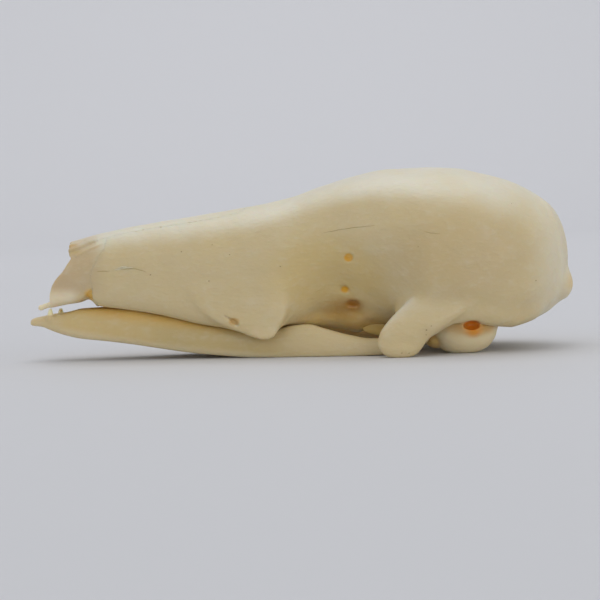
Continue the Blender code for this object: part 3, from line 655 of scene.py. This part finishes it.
# %% A class for shader maths
class Value:
    """A node's output that takes part in sums as a number does."""

    def __init__(self, tree, socket):
        self.tree, self.socket = tree, socket

    def other(self, output):
        """Another output of the same node."""
        return Value(self.tree, self.socket.node.outputs[output])

    def maths(self, operation, *values):
        return self.tree.node("ShaderNodeMath", {"operation": operation}, dict(enumerate(values)))

    def __add__(self, other):
        return self.maths("ADD", self, other)

    __radd__ = __add__

    def __sub__(self, other):
        return self.maths("SUBTRACT", self, other)

    def __rsub__(self, other):
        return self.maths("SUBTRACT", other, self)

    def __mul__(self, other):
        return self.maths("MULTIPLY", self, other)

    __rmul__ = __mul__

    def __abs__(self):
        return self.maths("ABSOLUTE", self)


class Tree:
    """A node tree under construction, for a material or for geometry."""

    def __init__(self, nodes_of):
        self.tree = nodes_of

    def node(self, kind, settings=None, inputs=None, output=0):
        """Adds a node: its settings first, then its sockets. A ramp's stops are given as its elements."""
        node = self.tree.nodes.new(kind)
        for name, value in (settings or {}).items():
            if name == "stops":
                for stop, colour in value[len(node.color_ramp.elements):]:
                    node.color_ramp.elements.new(stop)
                for element, (stop, colour) in zip(node.color_ramp.elements, value):
                    element.position, element.color = stop, colour
            else:
                setattr(node, name, value)
        for name, value in (inputs or {}).items():
            if isinstance(value, Value):
                self.tree.links.new(value.socket, node.inputs[name])
            else:
                node.inputs[name].default_value = value
        return Value(self, node.outputs[output]) if node.outputs else None

    def vectors(self, operation, *values, output=0):
        return self.node("ShaderNodeVectorMath", {"operation": operation}, dict(enumerate(values)), output)

    def scaled(self, vector, factor):
        return self.node("ShaderNodeVectorMath", {"operation": "SCALE"}, {0: vector, "Scale": factor})

    def parts(self, vector):
        """The x, y and z of a vector."""
        return (self.node("ShaderNodeSeparateXYZ", {}, {0: vector}, axis) for axis in "XYZ")

    def noise(self, place, wavelength, detail=2.0):
        """Cloudy noise from 0 to 1. Place and wavelength are in the same unit."""
        inputs = {"Vector": place, "Scale": 1 / wavelength, "Detail": detail}
        return self.node("ShaderNodeTexNoise", {}, inputs)


class Finish(Tree):
    """A material under construction, which works in millimetres."""

    def __init__(self, name):
        self.material = bpy.data.materials.new(name)
        self.material.use_nodes = True
        super().__init__(self.material.node_tree)
        self.shader = self.tree.nodes["Principled BSDF"]
        metres = self.node("ShaderNodeTexCoord", output="Object")
        self.place = self.scaled(metres, 1 / MM)
        self.x, y, self.z = self.parts(self.place)
        self.aside = abs(y)
        self.up = self.node("ShaderNodeSeparateXYZ", {}, {0: metres.other("Normal")}, "Z")

    def rise(self, value, start, end):
        """0 before start and 1 after end, with a soft change between."""
        inputs = {0: value, 1: start, 2: end, 3: 0.0, 4: 1.0}
        return self.node("ShaderNodeMapRange", {"interpolation_type": "SMOOTHSTEP"}, inputs)

    def spot(self, centre, radii, soft=0.5):
        """1 within an oval round a point on both sides of the skull, fading out over the soft share."""
        there = self.node("ShaderNodeCombineXYZ", {}, {0: self.x, 1: self.aside, 2: self.z})
        share = self.vectors("DIVIDE", self.vectors("SUBTRACT", there, centre), radii)
        size = self.vectors("LENGTH", share, output="Value")
        return self.rise(size, 1.0, 1.0 - soft)

    def clouds(self, wavelength, detail=2.0, stretch=(1, 1, 1)):
        """Noise on the surface, drawn out along an axis whose stretch is below 1."""
        return self.noise(self.vectors("MULTIPLY", self.place, stretch), wavelength, detail)

    def mix(self, share, first, second):
        """Goes from the first colour to the second as share goes from 0 to 1."""
        return self.node("ShaderNodeMix", {"data_type": "RGBA"}, {0: share, 6: first, 7: second}, 2)

    def bump(self, height, distance, strength=1.0, under=None):
        inputs = {"Height": height, "Distance": distance * MM, "Strength": strength}
        if under is not None:
            inputs["Normal"] = under
        return self.node("ShaderNodeBump", {}, inputs)

    def set(self, **sockets):
        for name, value in sockets.items():
            socket = self.shader.inputs[name.replace("_", " ").title().replace("Ior", "IOR")]
            if isinstance(value, Value):
                self.tree.links.new(value.socket, socket)
            else:
                socket.default_value = value


def tone(red, green, blue):
    """A colour from screen values of 0 to 255, as the linear light that Blender works in."""
    share = [value / 255 for value in (red, green, blue)]
    return (*(s / 12.92 if s <= 0.04045 else ((s + 0.055) / 1.055) ** 2.4 for s in share), 1.0)


# %% [markdown]
# ## Bone
# Clean dry bone is ivory, a little translucent and has a dull satin gloss. It is whiter where it is thick
# and dense and more yellow where it is thin. Light goes a short way in, so the shader has subsurface
# scattering, whose settings are plain numbers on the shader. Fine grain and slow mottling go into colour,
# roughness and bump. The colours also hold painted light and painted shade: faces that point up are
# painted paler, and the hollows, holes and ear get painted shade and painted glow.

# %% Bone finish
IVORY = tone(226, 219, 196)
CREAM = tone(211, 192, 148)
HONEY = tone(216, 192, 132)
AMBER = tone(226, 168, 30)
GOLD = tone(222, 184, 106)
WARM_TAN = tone(246, 210, 134)
PINK_TAN = tone(200, 178, 140)
BROWN = tone(176, 112, 14)
EAR_OPENING_GLOW = tone(228, 140, 20)


def bone_finish(name, base, roughness=0.41):
    """The grain, gloss and translucence that all the bones share; base gives the colour from the finish."""
    finish = Finish(name)
    mottle = finish.clouds(7.0, 3.0)
    blotch = finish.clouds(2.2, 3.0, (0.7, 1, 1))
    grain = finish.clouds(0.55, 3.0, (0.5, 1, 1))
    pores = finish.clouds(0.24, 2.0)
    colour = base(finish)
    colour = finish.mix(finish.rise(mottle, 0.35, 0.75) * 0.2, colour, HONEY)
    colour = finish.mix(finish.rise(blotch, 0.5, 0.75) * 0.14, colour, IVORY)
    colour = finish.mix(finish.rise(grain, 0.5, 0.8) * 0.12, colour, IVORY)
    normal = finish.bump(finish.clouds(4.0, 2.0), 0.35, 0.6)
    normal = finish.bump(blotch, 0.16, 0.6, normal)
    normal = finish.bump(grain, 0.11, 0.8, normal)
    normal = finish.bump(pores, 0.025, 0.6, normal)
    finish.set(
        base_color=colour,
        roughness=roughness + 0.14 * (finish.rise(mottle, 0.3, 0.7) - 0.5) + 0.1 * (grain - 0.5),
        normal=normal,
        subsurface_weight=0.35,
        subsurface_radius=(1.0, 0.6, 0.28),
        subsurface_scale=0.0016,
        ior=1.5,
    )
    finish.shader.subsurface_method = "RANDOM_WALK"
    return finish.material


def tip_share(f):
    """1 at the pinkish tip of the snout, fading out backwards, upwards and downwards."""
    return f.rise(f.x, -30.0, -33.5) * f.rise(f.z, 22.0, 17.0) * f.rise(f.z, 10.0, 12.0)


def cranial_colour(f):
    # Painted shade: a wide soft band on the braincase flank under the lit top is painted darker and yellower.
    side = f.mix(f.spot((24.0, 16.0, 16.0), (17.0, 8.0, 9.0), 0.7) * 0.6, CREAM, tone(196, 173, 128))
    # Painted light: the back of the braincase is painted paler, as if lit from the right.
    side = f.mix(f.rise(f.x, 34.0, 41.0) * 0.6, side, IVORY)
    # Painted light: faces that point up are painted paler ivory, as if lit from above.
    colour = f.mix(f.rise(f.up, 0.3, 0.9), side, IVORY)
    # The eye socket is painted yellower: the thin bone's own tone, and painted glow of light shining through
    # it.
    colour = f.mix(f.spot((5.0, 9.0, 13.0), (13.0, 7.0, 9.5), 0.6) * 0.8, colour, HONEY)
    colour = f.mix(f.spot((26.0, 13.0, 2.6), (4.2, 4.0, 3.2), 0.8) * 0.7, colour, HONEY)
    # Painted light: the recess under the eye socket is painted pale and warm, to lift it out of its shade.
    colour = f.mix(f.spot((6.5, 5.5, 4.8), (10.5, 6.5, 3.2), 0.6) * 0.95, colour, WARM_TAN)
    # Painted shade: the hollow in front of the jaw joint's paddle is painted a darker gold.
    colour = f.mix(f.spot((12.6, 11.5, 6.6), (3.0, 3.5, 3.2), 0.8) * 0.6, colour, GOLD)
    # Painted shade: the wall under the socket's rim is painted brown.
    colour = f.mix(f.spot((7.0, 5.0, 7.4), (5.0, 5.0, 2.9), 0.95) * 0.8, colour, tone(196, 146, 62))
    # Painted shade: a dark brown patch in and round the fissure at the back of the socket.
    colour = f.mix(f.spot((8.5, 5.5, 7.9), (2.3, 3.4, 1.6), 0.95) * 0.9, colour, BROWN)
    # Painted glow: the two small holes in the socket wall are painted orange, as if lit from inside through
    # thin bone.
    colour = f.mix(f.spot((7.75, 10.6, 15.45), (0.85, 9.0, 0.78), 0.4), colour, AMBER)
    colour = f.mix(f.spot((7.1, 7.6, 10.35), (0.85, 9.0, 0.75), 0.6), colour, AMBER)
    # Painted shade: warm orange-brown shading in the infraorbital slit.
    colour = f.mix(f.spot((-10.4, 9.0, 5.95), (1.1, 3.0, 0.75), 0.5) * 0.8, colour, tone(200, 154, 76))
    # Painted light: the low region under the back of the socket is painted pale and warm, to lift it out of
    # its shade.
    colour = f.mix(f.spot((14.0, 4.0, 3.0), (9.0, 1.6, 3.2), 0.4) * 0.9, colour, tone(250, 208, 122))
    # Painted highlight: a pale line along the edge of the occipital crest.
    up_from_middle = f.z - 14.0
    crest_x = 41.1 - 0.02 * (up_from_middle * up_from_middle)
    crest = f.rise(abs(f.x - crest_x), 0.8, 0.1) * f.rise(abs(f.z - 12.0), 7.0, 2.0)
    colour = f.mix(crest * 0.35, colour, IVORY)
    # Painted shade: the condyle is painted a darker, warmer tan.
    colour = f.mix(f.spot((43.0, 5.5, 10.3), (1.9, 3.5, 2.2), 0.6) * 0.45, colour, GOLD)
    # Painted glow and painted shade: the ear opening is painted deep orange-brown.
    colour = f.mix(f.spot((26.4, 13.0, 4.9), (1.7, 2.5, 0.9), 0.4) * 0.9, colour, tone(182, 108, 16))
    return f.mix(tip_share(f), colour, PINK_TAN)


def snout_tip_colour(f):
    # Painted light: faces that point up are painted paler ivory, as if lit from above.
    colour = f.mix(f.rise(f.up, 0.1, 0.8), CREAM, IVORY)
    colour = f.mix(tip_share(f), colour, PINK_TAN)
    colour = f.mix(f.rise(f.z, 12.4, 10.0) * f.rise(f.x, -34.4, -36.8), colour, tone(240, 226, 196))
    colour = f.mix(f.spot((-36.0, 3.0, 18.4), (1.5, 2.5, 0.55), 0.7) * 0.8, colour, tone(196, 158, 98))
    colour = f.mix(f.spot((-35.3, 3.0, 17.4), (1.9, 2.5, 0.8), 0.8) * 0.7, colour, tone(196, 168, 104))
    # Painted glow: the three-cornered window is painted orange, as light shining through thin bone.
    return f.mix(f.spot((-33.2, 5.0, 10.7), (1.3, 2.5, 1.3), 0.7), colour, tone(220, 172, 70))


def ear_colour(f):
    base = tone(232, 216, 176)
    # Painted shade: a darker, warmer patch round and below the ear opening.
    colour = f.mix(f.spot((26.8, 12.6, 4.1), (6.4, 4.0, 1.9), 0.8), base, tone(200, 156, 84))
    # Painted glow: orange below the ear opening, as light shining through the thin bubble of bone.
    colour = f.mix(f.spot((26.6, 13.4, 3.6), (2.0, 3.0, 1.5), 0.9), colour, tone(216, 142, 34))
    # Painted glow: the ear opening is painted orange, as light seen through the thin bubble of bone.
    colour = f.mix(f.spot((26.4, 13.0, 4.5), (1.8, 2.8, 1.1), 0.7), colour, EAR_OPENING_GLOW)
    # Painted shade: the knob in front of the bulla is painted darker tan.
    return f.mix(f.spot((21.0, 9.0, 2.1), (2.0, 3.0, 1.7), 0.4) * 0.9, colour, GOLD)


def jaw_colour(f):
    lower_edge = f.x * f.x * 0.0019 - f.x * 0.066 - 0.651
    height = f.z - lower_edge
    colour = f.mix(f.rise(f.x, -28.0, -20.0), tone(212, 187, 130), tone(200, 178, 124))
    colour = f.mix(f.rise(f.x, -9.0, 4.0), colour, CREAM)
    # Painted shade: a golden band along the jaw's upper edge, in the shade under the maxilla.
    colour = f.mix(f.rise(height, 2.8, 5.0) * f.rise(f.x, -6.0, -16.0) * 0.8, colour, tone(222, 180, 90))
    colour = f.mix(f.rise(height, 1.5, 0.2) * 0.8, colour, tone(222, 206, 168))
    colour = f.mix(f.rise(f.x, -37.0, -39.6) * 0.8, colour, CREAM)
    # Painted light: the tip of the far prong is painted pale, as if light shines through it.
    return f.mix(f.rise(f.z, 7.3, 7.7) * f.rise(f.x, -38.3, -38.7), colour, tone(250, 238, 196))


cranial_bone = bone_finish("cranial bone", cranial_colour)
snout_tip_bone = bone_finish("snout tip bone", snout_tip_colour)
ear_bone = bone_finish("ear bone", ear_colour)
jaw_bone = bone_finish("jaw bone", jaw_colour)

# %% [markdown]
# ## Fine lines and pores with Geometry Nodes
# Old sutures leave thin raised threads on the snout, hairlines run along the temple, and small vessels
# enter through pores. They are too fine for the grid of the bone's field. Each is given as seen from the
# side, and a node tree drops it onto the bone with a ray, so the same tree serves both sides and any bone.

# %% Node trees that drop things onto a bone
RAY_START, RAY_LENGTH = 0.03, 0.05


def geometry_tree(name, **sizes):
    """A geometry tree with inputs for the bone, the sizes and the material."""
    group = bpy.data.node_groups.new(name, "GeometryNodeTree")
    kinds = {"Paths": "Geometry", "Bone": "Object", **{size: "Float" for size in sizes}, "Finish": "Material"}
    for label, kind in kinds.items():
        group.interface.new_socket(label, in_out="INPUT", socket_type=f"NodeSocket{kind}")
    group.interface.new_socket("Result", in_out="OUTPUT", socket_type="NodeSocketGeometry")
    tree = Tree(group)
    tree.given = tree.node("NodeGroupInput")
    return tree


def drop(tree, place):
    """Where rays from both sides hit the bone; Hit Normal is another output of the same node."""
    bone_shape = tree.node("GeometryNodeObjectInfo", {}, {"Object": tree.given.other("Bone")}, "Geometry")
    x, y, z = tree.parts(place)
    side = y.maths("SIGN", y)
    start = tree.node("ShaderNodeCombineXYZ", {}, {0: x, 1: side * RAY_START, 2: z})
    heading = tree.node("ShaderNodeCombineXYZ", {}, {1: side * -1.0})
    ray = {
        "Target Geometry": bone_shape, "Source Position": start, "Ray Direction": heading,
        "Ray Length": RAY_LENGTH,
    }
    return tree.node("GeometryNodeRaycast", {}, ray, "Hit Position")


def end_tree(tree, geometry):
    geometry = tree.node("GeometryNodeSetShadeSmooth", {}, {0: geometry})
    geometry = tree.node("GeometryNodeRealizeInstances", {}, {0: geometry})
    finish = tree.given.other("Finish")
    geometry = tree.node("GeometryNodeSetMaterial", {}, {"Geometry": geometry, "Material": finish})
    tree.node("NodeGroupOutput", {}, {0: geometry})


def run_tree(name, tree, points, edges, inputs):
    """A plain mesh object, made by a tree from side-view points (x, z) in millimetres, for both sides."""
    mesh = bpy.data.meshes.new(name)
    both = [(x * MM, side * RAY_START, z * MM) for side in (-1, 1) for x, z in points]
    mesh.from_pydata(both, edges + [(a + len(points), b + len(points)) for a, b in edges], [])
    made = add_object(name, mesh)
    modifier = made.modifiers.new("tree", "NODES")
    modifier.node_group = tree.tree
    items = tree.tree.interface.items_tree
    sockets = {item.name: item.identifier for item in items if item.in_out == "INPUT"}
    for label, value in inputs.items():
        modifier[sockets[label]] = value
    evaluated = made.evaluated_get(bpy.context.evaluated_depsgraph_get())
    plain = bpy.data.meshes.new_from_object(evaluated)
    made.modifiers.clear()
    made.data = plain
    print(f"{name}: {len(plain.polygons):,} faces")
    return made


# %% [markdown]
# ## Threads: sutures and hairlines
# A path is cut into short steps, shaken a little by noise, dropped onto the bone and swept with a small
# circle that thins out to both ends.

# %% Threads
THREAD_STEP, WAVER_LENGTH = 0.12 * MM, 0.9 * MM


def thread_tree():
    tree = geometry_tree("threads on bone", Radius=0, Waver=0, Sink=0)
    curve = tree.node("GeometryNodeMeshToCurve", {}, {0: tree.given})
    steps_of = {"Curve": curve, "Length": THREAD_STEP}
    curve = tree.node("GeometryNodeResampleCurve", {"mode": "LENGTH"}, steps_of)
    place = tree.node("GeometryNodeInputPosition")
    shake = tree.vectors("SUBTRACT", tree.noise(place, WAVER_LENGTH).other("Color"), (0.5, 0.5, 0.5))
    shake = tree.scaled(shake, tree.given.other("Waver"))
    hit = drop(tree, tree.vectors("ADD", place, shake))
    sunk = tree.scaled(hit.other("Hit Normal"), tree.given.other("Sink") * -1.0)
    place = tree.vectors("ADD", hit, sunk)
    curve = tree.node("GeometryNodeSetPosition", {}, {"Geometry": curve, "Position": place})
    along = tree.node("GeometryNodeSplineParameter")
    swell = along.maths("POWER", along * (1.0 - along) * 4.0 + 0.02, 0.5)
    circle = tree.node("GeometryNodeCurvePrimitiveCircle", {}, {"Resolution": 8, "Radius": 1.0})
    scale = swell * tree.given.other("Radius")
    tube = {"Curve": curve, "Profile Curve": circle, "Scale": scale, "Fill Caps": True}
    end_tree(tree, tree.node("GeometryNodeCurveToMesh", {}, tube))
    return tree


SUTURES = (
    ((-29.5, 14.5), (-28.8, 14.6), (-28.1, 14.67), (-27.3, 14.68), (-26.6, 14.78), (-25.8, 14.78)),
    ((-28.9, 14.82), (-27.8, 14.9), (-26.9, 14.88)),
)
HAIRLINES = (
    ((2.8, 19.2), (4.5, 19.5), (7.3, 19.95), (9.5, 20.15), (12.9, 20.4)),
    ((18.9, 19.3), (20.4, 18.9), (22.0, 18.75)),
    ((-32.3, 14.3), (-31.2, 14.38), (-30.4, 14.35), (-29.6, 14.42)),
    ((-29.0, 14.48), (-27.6, 14.58), (-25.9, 14.66), (-24.8, 14.35), (-23.5, 13.8)),
)


def chains(paths):
    points = [point for path in paths for point in path]
    starts = np.cumsum([0] + [len(path) for path in paths])
    ends = zip(starts.tolist(), starts[1:].tolist())
    return points, [(i, i + 1) for start, end in ends for i in range(start, end - 1)]


pale_ridge = bone_finish("pale ridge", lambda f: tone(228, 212, 172))
tan_line = bone_finish("tan hairline", lambda f: tone(186, 160, 106), 0.6)
threads = thread_tree()
sutures = run_tree("suture_threads", threads, *chains(SUTURES), {
    "Bone": skull, "Radius": 0.13 * MM, "Waver": 0.35 * MM, "Sink": 0.07 * MM, "Finish": pale_ridge
})
hairlines = run_tree("hairlines", threads, *chains(HAIRLINES), {
    "Bone": skull, "Radius": 0.07 * MM, "Waver": 0.15 * MM, "Sink": 0.04 * MM, "Finish": tan_line
})

# %% [markdown]
# ## Pores
# A pore is a dark lens set nearly flush in the bone: painted shade in place of the pore's hole. Most are
# where they show on this skull, and a handful more are scattered by a fixed draw.

# %% Pores
def pore_tree():
    tree = geometry_tree("pores in bone", Radius=0, Flatness=0)
    points = tree.node("GeometryNodeMeshToPoints", {}, {"Mesh": tree.given})
    hit = drop(tree, tree.node("GeometryNodeInputPosition"))
    points = tree.node("GeometryNodeSetPosition", {}, {"Geometry": points, "Position": hit})
    lens = tree.node("GeometryNodeMeshIcoSphere", {}, {"Radius": 1.0, "Subdivisions": 2})
    normal = {"Vector": hit.other("Hit Normal")}
    facing = tree.node("FunctionNodeAlignRotationToVector", {"axis": "Z"}, normal)
    radius = tree.node("FunctionNodeRandomValue", {}, {2: 0.55, 3: 1.0, "Seed": 5}, 1)
    radius = radius * tree.given.other("Radius")
    depth = radius * tree.given.other("Flatness")
    scale = tree.node("ShaderNodeCombineXYZ", {}, {0: radius, 1: radius * 0.75, 2: depth})
    dots = {"Points": points, "Instance": lens, "Rotation": facing, "Scale": scale}
    end_tree(tree, tree.node("GeometryNodeInstanceOnPoints", {}, dots))
    return tree


pore_draw = np.random.default_rng(12)
PORES = [(19.9, 4.75), (19.15, 4.15), (19.1, 3.4), (15.3, 0.75), (16.4, 0.7), (-23.4, 13.6)]
scattered = zip(pore_draw.uniform(-26, 40, 9).tolist(), pore_draw.uniform(11, 24, 9).tolist())
scattered = [(x, z) for x, z in scattered if floor(x) + 3 < z < roof(x) - 2]
# Painted shade: the pore's dark lens stands for the shade in its hole.
dark_pore = bone_finish("dark pore", lambda f: tone(166, 138, 92), 0.7)
pore_dots = run_tree("pores", pore_tree(), PORES + scattered, [], {
    "Bone": skull, "Radius": 0.14 * MM, "Flatness": 0.2, "Finish": dark_pore
})

# %% [markdown]
# ## Put each bone in its place
# Every piece rides on the one body of the model and stands for the solids of the same bone.

# %% Ride, replace, finish
BOTH = ("left", "right")


def place(piece, material, slot, *nodes):
    if material:
        piece.data.materials.append(material)
    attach(piece, "root")
    if nodes:
        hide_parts(*nodes)


for detail in (sutures, hairlines, pore_dots):
    place(detail, None, "cranial_bone")
pairs = [f"{node}_{word}" for node in ("squamosal_process", "occipital_condyle") for word in BOTH]
place(skull, cranial_bone, "cranial_bone", "braincase", "maxilla", *pairs)
sets = zip(BOTH, nasals, premaxillae, bullae, pterygoids, jaws)
for word, nasal, premaxilla, bulla, pterygoid, jaw in sets:
    place(nasal, snout_tip_bone, "snout_tip_bone", f"nasal_{word}")
    place(premaxilla, snout_tip_bone, "snout_tip_bone", f"premaxilla_{word}")
    place(bulla, ear_bone, "ear_bone", f"tympanic_bulla_{word}")
    place(pterygoid, cranial_bone, "cranial_bone", f"pterygoid_{word}")
    place(jaw, jaw_bone, "jaw_bone", f"mandible_{word}")

# %% [markdown]
# ## Floor, light and camera
# The skull stands on a plain pale sweep, which rises behind it without a corner. One wide soft light
# hangs overhead. A low one from the right fills the flank, one more lifts the backdrop, and a pale
# surround fills the shadows.

# %% Floor and light
def sweep(name, width=4.0, front=-1.2, turn=1.1, radius=0.5, top=2.2):
    """A floor that curves up into a backdrop."""
    profile = [(front, 0.0), (turn, 0.0)]
    angles = np.linspace(0, math.pi / 2, 17)[1:]
    profile += [(turn + radius * math.sin(a), radius * (1 - math.cos(a))) for a in angles]
    profile.append((turn + radius, top))
    points = [(x, y, z) for x in (-width / 2, width / 2) for y, z in profile]
    count = len(profile)
    mesh = bpy.data.meshes.new(name)
    mesh.from_pydata(points, [], [(i, i + count, i + count + 1, i + 1) for i in range(count - 1)])
    mesh.shade_smooth()
    return add_object(name, mesh)


backdrop = sweep("backdrop")
paper = bpy.data.materials.new("pale paper")
paper.use_nodes = True
paper_shader = paper.node_tree.nodes["Principled BSDF"]
paper_shader.inputs["Base Color"].default_value = tone(213, 213, 215)
paper_shader.inputs["Roughness"].default_value = 0.7
backdrop.data.materials.append(paper)


def lamp(name, place, target, size, power, colour=(1, 1, 1)):
    data = bpy.data.lights.new(name, "AREA")
    data.shape, data.size, data.energy, data.color = "DISK", size, power, colour
    made = add_object(name, data)
    made.location = place
    made.rotation_euler = (Vector(target) - Vector(place)).to_track_quat("-Z", "Y").to_euler()


lamp("overhead", (0.02, -0.04, 0.55), (0.0, 0.0, 0.02), 0.35, 0.35, (1.0, 0.99, 0.97))
lamp("low fill", (0.40, -0.65, 0.12), (0.0, 0.0, 0.01), 0.5, 0.8, (1.0, 0.98, 0.94))
lamp("backdrop light", (0.0, 0.75, 1.3), (0.0, 1.6, 0.25), 1.2, 5.0, (1.0, 0.99, 1.0))
world = bpy.data.worlds.new("surround")
world.use_nodes = True
background = world.node_tree.nodes["Background"]
background.inputs["Color"].default_value = (0.80, 0.82, 0.86, 1.0)
background.inputs["Strength"].default_value = 0.80
bpy.context.scene.world = world
bpy.context.scene.view_settings.view_transform = "Standard"

# %% [markdown]
# ## Camera
# The camera stands 30 centimetres from the middle of the skull and looks slightly down on it. A long lens
# is used close by for small objects, because it keeps the near and the far side at nearly the same scale.

# %% Camera
FOCAL_PIXELS, PICTURE_PIXELS = 1860, 600
PITCH, ROLL = math.atan(89 / FOCAL_PIXELS), math.radians(1.8)
lens = bpy.data.cameras.new("camera")
lens.sensor_width = 36
lens.lens = FOCAL_PIXELS / PICTURE_PIXELS * lens.sensor_width
lens.clip_start = 0.01
camera = add_object("camera", lens)
camera.matrix_world = (
    Matrix.Translation((0, -0.300, 0.0229))
    @ Matrix.Rotation(math.pi / 2 - PITCH, 4, "X")
    @ Matrix.Rotation(-ROLL, 4, "Z")
)
bpy.context.scene.camera = camera
print("lens, mm:", round(lens.lens, 1))
